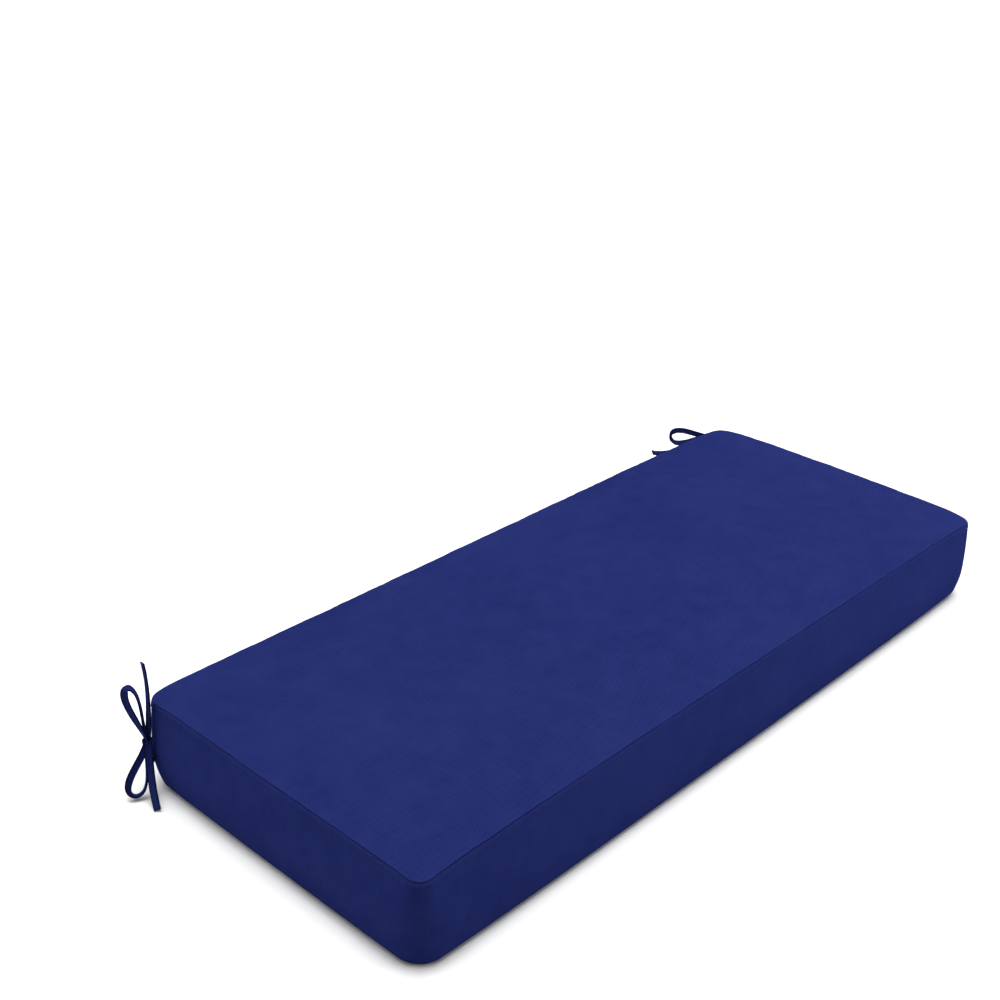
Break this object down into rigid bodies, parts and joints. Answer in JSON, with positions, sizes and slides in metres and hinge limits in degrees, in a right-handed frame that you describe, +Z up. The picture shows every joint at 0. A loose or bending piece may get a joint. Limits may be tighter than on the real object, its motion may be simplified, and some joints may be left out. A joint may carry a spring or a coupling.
{
  "type": "bench cushion",
  "caption": "Flat rectangular box cushion for a bench, with a boxed band, sewn edges, a low crown and a bow-knotted tie at each back corner.",
  "frame": {"origin": "middle of the bottom panel's flat, on the surface that the cushion lies on", "axes": "+X along the bench, to the right of someone who faces the back rest; +Y towards the back rest, where the ties are; +Z up, out of the crowned top panel"},
  "size_m": [1.0843, 0.4721, 0.1549],
  "materials": {
    "cover_cloth": "matt plain-woven polyester with a fine rib",
    "tie_cloth": "matt folded and stitched strip of the cover cloth"
  },
  "bodies": {
    "root": {"cushion": "cover_cloth", "tie_left": "tie_cloth", "tie_right": "tie_cloth"}
  },
  "joints": []
}
